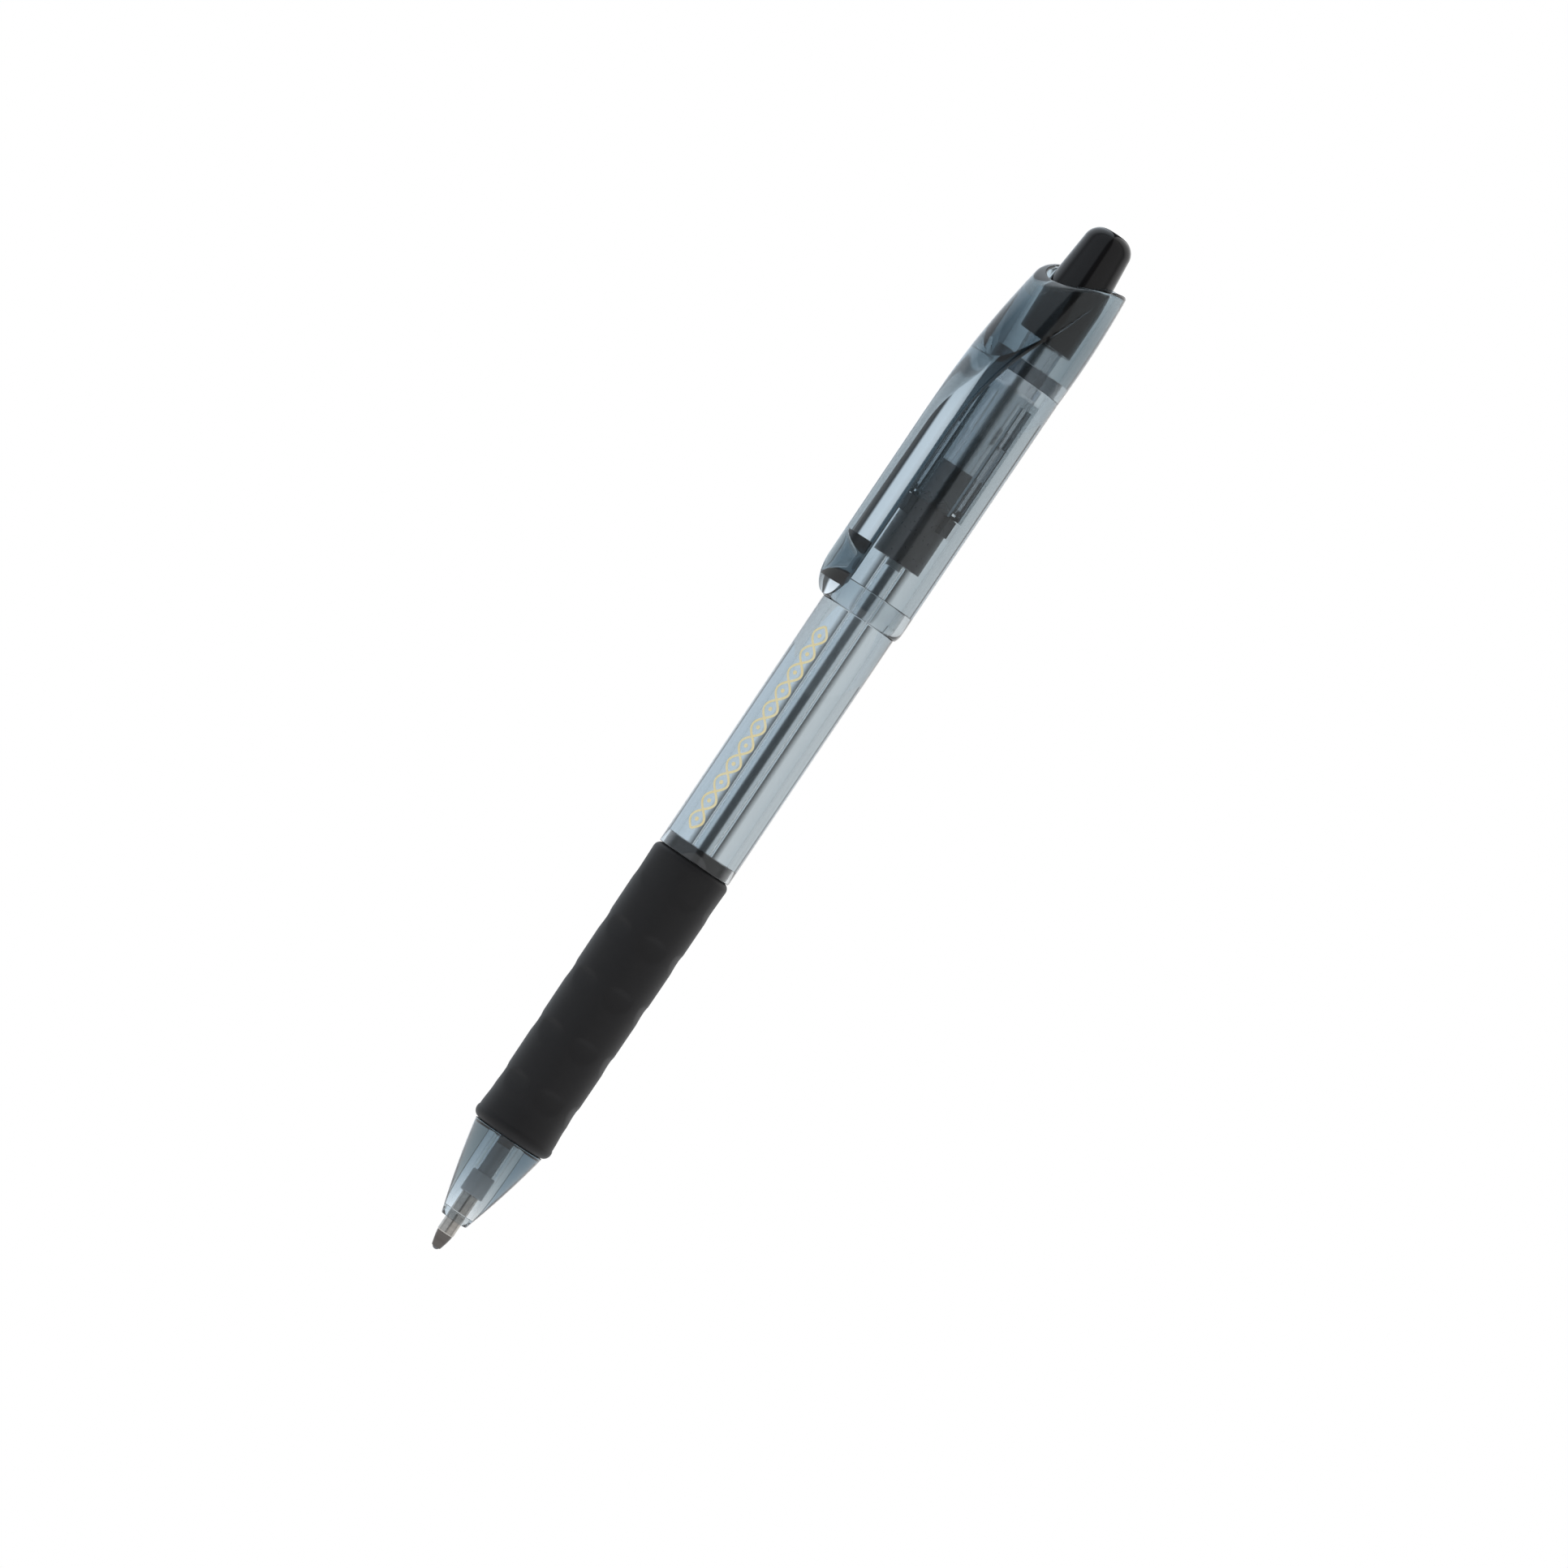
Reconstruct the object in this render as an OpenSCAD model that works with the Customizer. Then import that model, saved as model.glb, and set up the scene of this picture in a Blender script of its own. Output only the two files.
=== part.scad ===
// Retractable pen with a clear barrel, a dimpled rubber grip and a click mechanism.
// Millimetres. +Z runs up the pen's axis, and z = 0 is the lowest point of the ball.
// The pen is drawn with its point out. The clip lies on the +X side.

/* [Point and refill] */
// Diameter of the writing ball
ball_d = 1.0; // [0.7:0.05:1.2]
// Radial play of the ball in its socket
ball_play = 0.02; // [0.01:0.01:0.04]
// Height of the ball that shows below the socket's lip
ball_show = 0.3; // [0.2:0.02:0.36]
// Wall of the socket at its lip
lip_wall = 0.12; // [0.08:0.01:0.2]
// Diameter of the ink channel behind the ball
channel_d = 0.36; // [0.2:0.02:0.5]
// Diameter of the feed bore up the metal point
feed_d = 0.8; // [0.5:0.05:1]
// Diameter of the metal point
point_d = 2.15; // [2.0:0.05:2.4]
// Depth of the groove behind the bullet nose
point_groove = 0.07; // [0.04:0.01:0.15]
// Outward swell of the bullet nose
point_swell = 0.09; // [0:0.01:0.15]
// Height of the point's bullet nose
point_nose_len = 2.1; // [1.8:0.1:2.6]
// Length of the metal point below its holder
point_len = 7.85; // [7:0.05:9]
// Wall of the holder's plug round the point's shank
plug_wall = 0.2; // [0.12:0.01:0.3]
// Length of the point's shank inside the holder
shank_len = 3.6; // [2:0.1:4.5]
// How far the holder's collar stands out past the ink tube
holder_step = 0.08; // [0.04:0.01:0.15]
// Height of the holder's collar
holder_len = 2.95; // [2:0.05:4]
// Length of the holder's plug inside the ink tube
plug_len = 4; // [3:0.5:6]
// Outside diameter of the ink tube
refill_d = 2.8; // [2.6:0.05:3.0]
// Wall of the ink tube
refill_wall = 0.42; // [0.3:0.02:0.5]
// Height of the ink column above the holder's plug
ink_len = 34; // [10:1:50]
// Length of the grease follower above the ink
follower_len = 3; // [2:0.5:8]
// Length of the tail plug inside the ink tube
tail_len = 3; // [2:0.5:5]
// Height of the tail plug's head above the ink tube
tail_head = 0.8; // [0.4:0.1:1.2]
// Diameter of the air vent through the tail plug
vent_d = 0.7; // [0.4:0.1:1]
// Width and height of the two ears that the spring pushes on
ear_w = 0.6; // [0.4:0.1:0.8]
ear_len = 1.6; // [1:0.1:2.5]

/* [Nose cone] */
// How far the point stands out of the nose cone
point_out = 4.03; // [3.5:0.05:5]
// Height of the cone that shows below the grip
nose_len = 11.57; // [10:0.1:16]
// Diameter of the cone at its mouth
nose_mouth_d = 3.4; // [3.3:0.05:3.8]
// How far the cone's top stays inside the barrel's side
nose_step = 0.24; // [0.1:0.02:0.4]
// Outward swell of the cone's side at mid height
nose_swell = 0.18; // [0:0.02:0.4]
// Height of the narrow guide hole at the mouth
mouth_len = 1.14; // [0.8:0.05:2]
// Radial play of the point in the guide hole
point_play = 0.09; // [0.05:0.01:0.1]
// Radial play of the holder in the cone's bore
holder_play = 0.17; // [0.1:0.01:0.3]
// Length of the threaded spigot inside the barrel
spigot_len = 8.4; // [6:0.2:12]
// Height of the spring's seat above the grip's lower end
seat_up = 1; // [0.5:0.1:3]

/* [Rubber grip] */
// Length of the grip
grip_len = 38.8; // [30:0.2:50]
// Thickness of the rubber at the waist
rubber_wall = 0.94; // [0.8:0.02:1.6]
// How much the grip swells towards its top
grip_swell = 0.13; // [0:0.01:0.3]
// How far the flared lower lip stands out past the waist
flare_out = 0.28; // [0.2:0.02:0.6]
// Radius of the grip's rounded ends
lip_round = 0.9; // [0.5:0.05:1.2]
// Height of the flare's widest line above the grip's lower end
flare_up = 1.1; // [0.9:0.1:2]
// Height of the waist above the grip's lower end
waist_up = 4.2; // [3:0.1:6]
// Rows of dimples along the grip
dimple_rows = 5; // [2:1:6]
// Dimples round each row
dimple_count = 6; // [3:1:7]
// Distance between rows
dimple_pitch = 7.17; // [5:0.05:8]
// Width of one dimple
dimple_d = 3.9; // [3:0.1:4.4]
// Depth of one dimple
dimple_depth = 0.26; // [0.2:0.02:0.5]
// Turn of the first column of dimples from the clip
dimple_turn = 8; // [0:1:59]
// How far the dimples' middle lies above the grip's middle
dimple_up = 1.45; // [-2:0.05:2]

/* [Barrel] */
// Length of barrel that shows above the grip
barrel_len = 34.45; // [25:0.05:50]
// Outside diameter of the barrel where it meets the grip
barrel_d = 9.64; // [9.0:0.02:13]
// Wall of the barrel
barrel_wall = 1.18; // [1:0.02:1.4]
// Radial taper of the barrel, wider towards the top
barrel_taper = 0.06; // [0:0.01:0.15]
// Depth of the seat that the grip is pushed onto
grip_seat = 0.82; // [0.6:0.02:1]
// Wall of the barrel under the grip, round the thread
core_wall = 0.75; // [0.6:0.05:0.9]
// Wall of the nose cone's spigot
spigot_wall = 0.65; // [0.5:0.05:0.7]
// Height of the thin skirt that laps the grip's top
skirt_len = 1.75; // [1:0.05:3]
// Wall of that skirt
skirt_wall = 0.42; // [0.3:0.02:0.5]

/* [Upper housing] */
// Length of the housing from the barrel to the cap
housing_len = 33.75; // [30:0.05:45]
// How far the housing stands out past the barrel
housing_step = 0.46; // [0.3:0.02:0.8]
// Wall of the housing
housing_wall = 1.39; // [1.2:0.01:1.5]
// Radial taper of the housing, wider towards the cap
housing_taper = 0.12; // [0:0.01:0.2]
// Length of the barrel's spigot inside the housing
joint_len = 3.3; // [2.5:0.1:5]
// Radial depth of that spigot's shoulder
joint_shoulder = 0.45; // [0.35:0.01:0.5]
// Height of the housing's rounded foot
foot_len = 1.5; // [1:0.1:3]
// Snap lugs round the joint
lug_count = 6; // [3:1:8]
// Width and height of a snap lug
lug_size = 1.1; // [0.8:0.1:1.4]
// How far a snap lug stands out of the spigot
lug_out = 0.25; // [0.15:0.01:0.3]
// Turn of the first snap lug from the clip
lug_turn = 40; // [0:1:59]
// Height of the socket where the cap laps the housing
band_len = 1.95; // [1.5:0.05:3]
// Radial depth of the housing's shoulder under the cap
band_shoulder = 0.76; // [0.6:0.02:0.9]

/* [Cap and clip] */
// Height of the cap from the housing to its highest rim
cap_len = 14.8; // [13:0.1:20]
// Largest swell of the cap past the housing
cap_swell = 0.12; // [0:0.02:0.3]
// How much the cap narrows from its foot to the rim
cap_taper = 0.26; // [0:0.02:0.4]
// Wall of the cap at the rim
cap_wall = 1.2; // [1:0.05:1.3]
// Radius of the arc that the rim follows, seen from the side
rim_arc = 14; // [13:0.5:30]
// How far the rim's highest point lies behind the axis
rim_back = 4.5; // [3:0.1:5]
// Depth of the rim's slope on the clip side
rim_depth = 7.4; // [6:0.1:9]
// How far the clip's crest stands out past the cap
clip_out = 2.45; // [2.2:0.05:3.5]
// Half the width of the clip's blade
blade_half = 2.7; // [2:0.1:3]
// Height of the blade's long round end
end_len = 6; // [3:0.2:8]
// Thickness of the blade along its middle
blade_mid = 1.2; // [1:0.05:1.6]
// Thickness of the blade at its side edges
blade_edge = 0.5; // [0.4:0.05:0.8]
// Radius of the flare where the blade widens into the cap
flare_arc = 61; // [50:1:80]
// Gap between the blade's root and the housing
clip_gap = 0.07; // [0.05:0.01:0.3]
// Length of the blade below the cap's lower edge
clip_len = 33.7; // [25:0.1:40]
// Where the straight blade starts to bend in, below the cap's lower edge
bend_drop = 10.5; // [8:0.5:14]
// Radius of the bend of the clip's crest
crest_arc = 99; // [90:1:150]
// Radius of the bend of the clip's side edge
edge_arc = 46.5; // [40:0.5:60]
// Radius of the pad that presses on the housing
pad_r = 4; // [3:0.5:6]
// Radius of the pad's crown across the blade
pad_crown = 2.9; // [2.5:0.1:6]
// Height of the pad's middle above the clip's lower end
pad_up = 5; // [4:0.1:7]

/* [Button] */
// How far the button stands above the rim with the point out
button_out = 5.5; // [5:0.1:9]
// Radial gap between the button's skirt and the cap
button_gap = 0.55; // [0.3:0.05:0.6]
// Length of the button from crown to skirt
button_len = 15.4; // [12:0.1:18]
// Radial taper of the button's side
button_taper = 0.65; // [0.2:0.05:0.8]
// Radius of the crown's rounded shoulder
crown_round = 2.1; // [1.2:0.1:2.4]
// Wall of the button's skirt
button_wall = 1.03; // [0.8:0.01:1.1]
// Solid height of the crown above the button's hollow
button_roof = 4.9; // [3:0.1:6]
// Height of the straight skirt's upper end below the rim
skirt_drop = 3.5; // [2:0.1:5]

/* [Click mechanism] */
// Travel from point out to point in
travel = 5; // [4:0.1:6]
// Wall of the fixed cam guide
guide_wall = 0.7; // [0.6:0.02:0.8]
// Radial play of the sliding parts in the guide
slide_play = 0.1; // [0.06:0.01:0.1]
// Height of the guide's upper end below the cap
guide_drop = 1.9; // [1:0.1:4]
// Width of the latch notches in the guide's lower end
notch = 0.8; // [0.5:0.1:1]
// Fins and guide slots round the mechanism
fin_count = 4; // [3:1:4]
// Width of a fin
fin_w = 1.1; // [0.8:0.1:1.4]
// Height of the rotor's fins
fin_len = 2.2; // [1.6:0.1:3]
// Length of the rotor up to its teeth
rotor_len = 7.6; // [6:0.1:9]
// Height of the rotor above the joint of barrel and housing
rotor_up = 7.85; // [6:0.05:9]
// Depth of the rotor's socket for the refill
rotor_socket = 3; // [2:0.1:4]
// Height of the cam teeth
tooth_len = 0.8; // [0.6:0.05:1.0]
// Length of the rotor's pilot inside the thrust tube
pilot_len = 5.5; // [4:0.1:7]
// Wall of the thrust tube
thrust_wall = 0.8; // [0.6:0.05:0.9]
// Height of the thrust tube's shoulder below the cap
shoulder_drop = 0.3; // [0.2:0.1:1]
// Wall of the thrust tube's stem inside the button
stem_wall = 1; // [0.6:0.1:1.2]
// Play of the thrust tube's fins under the end of their slots with the point in
end_play = 0.3; // [0.1:0.1:1]
// Height of the closed ring at the guide's upper end
guide_ring = 1; // [0.6:0.1:2]
// Height of those fins above the guide's lower end
thrust_fin_up = 0.6; // [0.3:0.1:1.5]
// Width of a rotor tooth's sides
tooth_w = 0.6; // [0.4:0.1:0.8]
// Height of the window's foot below the cap
window_drop = 8.6; // [6:0.1:12]
// Turn of the window from the clip
window_turn = 48; // [0:1:90]
// Height of the window in the thrust tube
window_len = 2.3; // [1:0.1:4]
// Width of the window in the thrust tube
window_w = 0.5; // [0.3:0.1:0.9]

/* [Return spring] */
// Wire of the spring
wire_d = 0.35; // [0.3:0.01:0.4]
// Radial play of the spring in its chamber
spring_play = 0.15; // [0.1:0.01:0.25]
// Working turns of the spring
spring_turns = 13; // [8:1:18]
// Length of the spring with the point out
spring_len = 19; // [15:0.5:26]

/* [Hidden] */

$fn = 72;
cut = 0.5;              // how far a cutting shape runs past the face that it cuts
gap = 0.03;             // clearance of two pieces that are fixed to each other
fill_gap = 0.01;        // clearance of what fills the ink tube
far = 40;               // longer than any piece is wide
sleeve_steps = 12;      // straight steps in a curved outline
round_step = 18;        // degrees between the points of a rounded corner
smoke = [0.62, 0.70, 0.76, 0.45];
dark_smoke = [0.30, 0.32, 0.34, 0.85];

// heights
z_ball = ball_d / 2;
z_mouth = point_out;
z_grip = z_mouth + nose_len;
z_grip_top = z_grip + grip_len;
z_joint = z_grip_top + barrel_len;
z_band = z_joint + housing_len;
z_rim = z_band + cap_len;
z_top = z_rim + button_out;
z_holder = point_len;
z_tube = z_holder + holder_len;
z_rotor = z_joint + rotor_up;
z_teeth = z_rotor + rotor_len;
z_tail = z_rotor + rotor_socket;
z_guide = z_teeth + slide_play;
z_guide_top = z_band - guide_drop;
z_slot_top = z_guide_top - guide_ring;
z_fin_top = z_slot_top - travel - end_play;
z_skirt = z_top - button_len;
z_seat = z_grip + seat_up;
z_clip = z_band - clip_len;
z_bend = z_band - bend_drop;
z_ears = z_seat + spring_len;
z_tube_top = z_tail - tail_head;
z_step = z_grip_top + skirt_len;
z_hollow = z_top - button_roof;

// radii
barrel_r = barrel_d / 2;
barrel_top_r = barrel_r + barrel_taper;
bore_r = barrel_r - barrel_wall;
core_r = barrel_r - grip_seat;
spigot_r = core_r - core_wall;
chamber_r = spigot_r - spigot_wall;
waist_r = core_r + rubber_wall;
lip_r = barrel_r - skirt_wall;
joint_r = barrel_top_r - joint_shoulder;
housing_r = barrel_top_r + housing_step;
housing_top_r = housing_r + housing_taper;
housing_bore_r = housing_r - housing_wall;
band_r = housing_top_r - band_shoulder;
cap_r = housing_top_r;
cap_bore_r = cap_r - cap_wall;
button_r = cap_bore_r - button_gap;
stem_r = button_r - button_wall;
guide_r = housing_bore_r - gap;
guide_bore_r = guide_r - guide_wall;
slide_r = guide_bore_r - slide_play;
thrust_bore_r = slide_r - thrust_wall;
pilot_r = thrust_bore_r - slide_play;
fin_r = guide_r - slide_play;
point_r = point_d / 2;
refill_r = refill_d / 2;
holder_r = refill_r + holder_step;
cone_bore_r = holder_r + holder_play;
ink_r = refill_r - refill_wall;
fill_r = ink_r - fill_gap;
shank_r = fill_r - plug_wall;
spring_r = chamber_r - spring_play - wire_d / 2;

// a solid of revolution between two heights
module rod(r, low, high) {
    translate([0, 0, low]) cylinder(r = r, h = high - low);
}

module tube(r, bore, low, high) {
    difference() {
        rod(r, low, high);
        rod(bore, low - cut, high + cut);
    }
}

module frustum(low_r, high_r, low, high) {
    translate([0, 0, low]) cylinder(r1 = low_r, r2 = high_r, h = high - low);
}

// copies round the pen's axis
module ring_of(count, turn = 0) {
    for (i = [0:count - 1]) rotate(turn + i * 360 / count) children();
}

// a straight cutter or rib that runs out along +X from one radius to another
module rib(width, from_r, to_r, low, high) {
    translate([from_r, -width / 2, low]) cube([to_r - from_r, width, high - low]);
}

// a long cylinder across the pen, along Y
module cross_rod(r, x, z) {
    translate([x, 0, z]) rotate([90, 0, 0]) cylinder(r = r, h = far, center = true, $fn = 400);
}

// outline of a side that swells outwards between two radii
function swell_points(low_r, high_r, low, high, swell) = [
    for (i = [0:sleeve_steps]) let (f = i / sleeve_steps)
        [low_r + (high_r - low_r) * f + swell * 4 * f * (1 - f), low + (high - low) * f]];

// ---- the shell ----

module nose_cone() {
    side = swell_points(nose_mouth_d / 2, barrel_r - nose_step, z_mouth, z_grip, nose_swell);
    color(smoke) difference() {
        union() {
            rotate_extrude() polygon(concat([[0, z_mouth]], side, [[0, z_grip]]));
            rod(spigot_r, z_grip - cut, z_grip + spigot_len);
        }
        rod(point_r + point_play, z_mouth - cut, z_mouth + mouth_len + cut);
        rod(cone_bore_r, z_mouth + mouth_len, z_seat + cut);
        rod(chamber_r, z_seat, z_grip + spigot_len + cut);
    }
}

// a quarter or more of a circle, as points
function arc_points(r, x, z, from, to) = [
    for (i = [0:round((to - from) / round_step)]) let (a = from + i * round_step)
        [x + r * cos(a), z + r * sin(a)]];

module grip_outline() {
    flare_r = waist_r + flare_out - lip_round;
    top_r = waist_r + grip_swell - lip_round;
    tongue_z = z_step - slide_play;
    polygon(concat(
        [[core_r, z_grip], [barrel_r - nose_step, z_grip]],
        arc_points(lip_round, flare_r, z_grip + flare_up, -72, 54),
        [[waist_r, z_grip + waist_up], [waist_r + grip_swell, z_grip_top - waist_up]],
        arc_points(lip_round, top_r, z_grip_top - lip_round, 0, 90),
        [[lip_r - gap, z_grip_top], [lip_r - gap, tongue_z], [core_r, tongue_z]]));
}

module rubber_grip() {
    bowl_r = (dimple_d * dimple_d / 4 + dimple_depth * dimple_depth) / (2 * dimple_depth);
    bowl_x = waist_r + grip_swell / 2 + bowl_r - dimple_depth;
    first = z_grip + (grip_len - (dimple_rows - 1) * dimple_pitch) / 2 + dimple_up;
    color([0.13, 0.13, 0.14]) difference() {
        rotate_extrude() grip_outline();
        for (row = [0:dimple_rows - 1])
            ring_of(dimple_count, dimple_turn)
                translate([bowl_x, 0, first + row * dimple_pitch]) sphere(r = bowl_r);
    }
}

module barrel() {
    flare_len = bore_r - chamber_r;
    color(smoke) difference() {
        union() {
            rod(core_r - gap, z_grip, z_step + cut);
            frustum(barrel_r, barrel_top_r, z_grip_top, z_joint);
            rod(joint_r, z_joint - cut, z_joint + joint_len);
            ring_of(lug_count, lug_turn)
                rib(lug_size, bore_r + gap, joint_r + lug_out, z_joint, z_joint + lug_size);
        }
        tube(lip_r, core_r - gap, z_grip_top - cut, z_step);
        rod(spigot_r + gap, z_grip - cut, z_grip + spigot_len + gap);
        rod(chamber_r, z_grip, z_step);
        frustum(chamber_r, bore_r, z_step - flare_len, z_step);
        rod(bore_r, z_step, z_joint + joint_len + cut);
    }
}

module mechanism_housing() {
    z_foot = z_joint + foot_len;
    pocket_w = lug_size + 2 * gap;
    pocket_r = joint_r + lug_out + gap;
    color(smoke) difference() {
        union() {
            frustum(barrel_top_r + gap, housing_r, z_joint, z_foot);
            frustum(housing_r, housing_top_r, z_foot, z_band);
            rod(band_r, z_band - cut, z_band + band_len);
        }
        rod(joint_r + gap, z_joint - cut, z_joint + joint_len + gap);
        rod(housing_bore_r, z_joint, z_band + band_len + cut);
        ring_of(lug_count, lug_turn) rib(pocket_w, bore_r, pocket_r, z_joint - cut, z_joint + pocket_w);
    }
}

// ---- the cap, with its clip in one piece ----

// the blade and the cap share one outer surface: a straight cylinder that bends back to the axis
module clip_outer() {
    path_r = crest_arc - cap_r;
    bend_deg = 18;
    translate([clip_out, 0, z_clip - cut]) cylinder(r = cap_r, h = z_bend - z_clip + cut, $fn = 200);
    translate([clip_out - path_r, 0, z_bend]) rotate([90, 0, 0])
        rotate_extrude(angle = bend_deg, $fn = 800) translate([path_r, 0]) circle(r = cap_r, $fn = 200);
}

// half the blade's width at a height above the bend
function blade_w(h) = min(cap_r + 1, blade_half + h * h / 2 / flare_arc);

// points of the blade's long round end on one side
function end_points(side) = [
    for (i = [0:sleeve_steps]) let (a = i * 90 / sleeve_steps)
        [side * blade_half * sin(a), z_clip + end_len * (1 - cos(a))]];

// front view of the clip: a long round end, a straight blade and the flare into the cap
module clip_width() {
    rise = (z_rim - z_bend) / sleeve_steps;
    left = end_points(-1);
    rotate([90, 0, 90]) linear_extrude(far) {
        polygon(concat(end_points(1), [for (i = [sleeve_steps:-1:1]) left[i]]));
        translate([-blade_half, z_clip + end_len]) square([2 * blade_half, z_bend - z_clip - end_len]);
        polygon(concat(
            [for (i = [0:sleeve_steps]) [blade_w(i * rise), z_bend + i * rise]],
            [for (i = [sleeve_steps:-1:0]) [-blade_w(i * rise), z_bend + i * rise]]));
    }
}

module clip_pad() {
    pad_x = housing_r + clip_gap + pad_r;
    intersection() {
        cross_rod(pad_r, pad_x, z_clip + pad_up);
        translate([pad_x - pad_r + pad_crown, 0, z_clip]) cylinder(r = pad_crown, h = far);
        translate([0, -far / 2, z_clip]) cube([clip_out + cap_r - blade_mid / 2, far, far]);
        clip_width();
        clip_outer();
    }
}

module clip_leaf() {
    inner_x = clip_out + cap_r - blade_mid;
    intersection() {
        clip_outer();
        clip_width();
        difference() {
            translate([0, -far / 2, z_clip]) cube([far, far, z_rim - z_clip]);
            translate([inner_x - far, -far / 2, z_clip - cut]) cube([far, far, z_bend - z_clip + cut]);
            cross_rod(edge_arc - blade_edge, inner_x - edge_arc + blade_edge, z_bend);
        }
    }
}

module clip_cap() {
    side = swell_points(cap_r, cap_r - cap_taper, z_band, z_rim, cap_swell + cap_taper / 2);
    z_foot = z_joint + foot_len;
    color(smoke) intersection() {
        difference() {
            union() {
                rotate_extrude() polygon(concat([[0, z_band]], side, [[0, z_rim]]));
                clip_leaf();
                clip_pad();
            }
            frustum(housing_r + clip_gap, housing_top_r + clip_gap, z_foot, z_band);
            rod(band_r + gap, z_band - cut, z_band + band_len + gap);
            rod(cap_bore_r, z_band, z_rim + cut);
        }
        union() {
            cross_rod(rim_arc, -rim_back, z_rim - rim_arc);
            translate([-far, -far, 0]) cube([2 * far, 2 * far, z_rim - rim_depth]);
        }
    }
}

// ---- the click mechanism ----

// a square bar on a radial line, turned on its corner: it cuts or makes a V-shaped tooth
module tooth_bar(side, z) {
    translate([0, 0, z]) rotate([45, 0, 0]) translate([0, -side / 2, -side / 2]) cube([far / 2, side, side]);
}

module cam_guide() {
    slot_w = fin_w + 2 * slide_play;
    color(smoke) difference() {
        tube(guide_r, guide_bore_r, z_guide, z_guide_top);
        ring_of(fin_count) rib(slot_w, 0, far / 2, z_guide - cut, z_slot_top);
        ring_of(fin_count, 180 / fin_count) tooth_bar(notch, z_guide);
    }
}

module thrust_tube() {
    z_low = z_teeth + tooth_len;
    z_shoulder = z_band - shoulder_drop;
    z_fins = z_guide + thrust_fin_up;
    floor_len = 1.3;
    color(dark_smoke) difference() {
        union() {
            rod(slide_r, z_low, z_shoulder);
            rod(stem_r - gap, z_shoulder - cut, z_hollow);
            ring_of(fin_count) rib(fin_w, thrust_bore_r + gap, fin_r, z_fins, z_fin_top);
        }
        rod(thrust_bore_r, z_low - cut, z_shoulder - floor_len);
        rod(stem_r - stem_wall, z_shoulder - floor_len - cut, z_hollow + cut);
        rotate(window_turn) translate([-far / 2, thrust_bore_r - window_w, z_band - window_drop])
            cube([far, window_w, window_len]);
        ring_of(2 * fin_count, 90 / fin_count) tooth_bar(tooth_len, z_low);
    }
}

module rotor_cam() {
    color([0.24, 0.25, 0.27]) difference() {
        union() {
            rod(slide_r, z_rotor, z_teeth);
            rod(pilot_r, z_teeth - cut, z_teeth + pilot_len);
            ring_of(fin_count) rib(fin_w, pilot_r, fin_r, z_teeth - fin_len, z_teeth);
            ring_of(2 * fin_count, 90 / fin_count)
                intersection() {
                    tube(slide_r, pilot_r, z_teeth - cut, z_teeth + tooth_len);
                    tooth_bar(tooth_w, z_teeth);
                }
        }
        rod(refill_r + slide_play, z_rotor - cut, z_tail);
    }
}

module push_button() {
    crown_r = button_r - button_taper;
    color([0.10, 0.10, 0.11]) difference() {
        rotate_extrude() polygon(concat(
            [[0, z_skirt], [button_r, z_skirt], [button_r, z_rim - skirt_drop]],
            arc_points(crown_round, crown_r - crown_round, z_top - crown_round, 0, 90),
            [[0, z_top]]));
        rod(stem_r, z_skirt - cut, z_hollow);
    }
}

// ---- the refill ----

module refill_tube() {
    ear_r = spring_r + wire_d / 4;
    color([0.86, 0.88, 0.88, 0.6]) difference() {
        union() {
            rod(refill_r, z_tube, z_tube_top);
            ring_of(2) rib(ear_w, ink_r + gap, ear_r, z_ears, z_ears + ear_len);
        }
        rod(ink_r, z_tube - cut, z_tail);
    }
}

module ink_column() {
    low = z_tube + plug_len;
    color([0.03, 0.03, 0.04]) rod(fill_r, low, low + ink_len);
}

module ink_follower() {
    low = z_tube + plug_len + ink_len;
    color([0.85, 0.80, 0.62, 0.7]) rod(fill_r, low, low + follower_len);
}

module tail_plug() {
    color([0.9, 0.9, 0.88]) difference() {
        union() {
            rod(fill_r, z_tube_top - tail_len, z_tail);
            rod(refill_r, z_tube_top, z_tail);
        }
        rod(vent_d / 2, z_tube_top - tail_len - cut, z_tail + cut);
    }
}

module tip_holder() {
    color([0.62, 0.64, 0.66, 0.8]) difference() {
        union() {
            rod(holder_r, z_holder, z_tube);
            rod(fill_r, z_tube - cut, z_tube + plug_len);
        }
        rod(shank_r + fill_gap, z_holder - cut, z_holder + shank_len);
        rod(feed_d / 2, z_holder, z_tube + plug_len + cut);
    }
}

module point_socket() {
    seat_r = ball_d / 2 + ball_play;
    channel_top = z_ball + ball_d;
    lip_r = ball_d / 2 + lip_wall;
    side = swell_points(lip_r, point_r - point_groove, ball_show, point_nose_len, point_swell);
    color([0.72, 0.70, 0.66]) difference() {
        union() {
            rotate_extrude() polygon(concat([[0, ball_show]], side, [[0, point_nose_len]]));
            rod(point_r, point_nose_len, z_holder);
            rod(shank_r, z_holder - cut, z_holder + shank_len);
        }
        translate([0, 0, z_ball]) sphere(r = seat_r);
        rod(channel_d / 2, z_ball, channel_top + cut);
        rod(feed_d / 2, channel_top, z_holder + shank_len + cut);
    }
}

module writing_ball() {
    color([0.35, 0.35, 0.38]) translate([0, 0, z_ball]) sphere(r = ball_d / 2);
}

// ---- the return spring: a round wire swept along a helix with closed end turns ----

wire_sides = 8;
turn_steps = 20;
coil_steps = turn_steps * (spring_turns + 2);
coil_rise = (spring_len - 3 * wire_d) / spring_turns;

// height of the wire's middle after a number of turns: flat first and last turns
function coil_z(t) = z_seat + wire_d / 2
    + wire_d * min(t, 1) + coil_rise * max(0, min(t - 1, spring_turns)) + wire_d * max(0, t - 1 - spring_turns);

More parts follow.
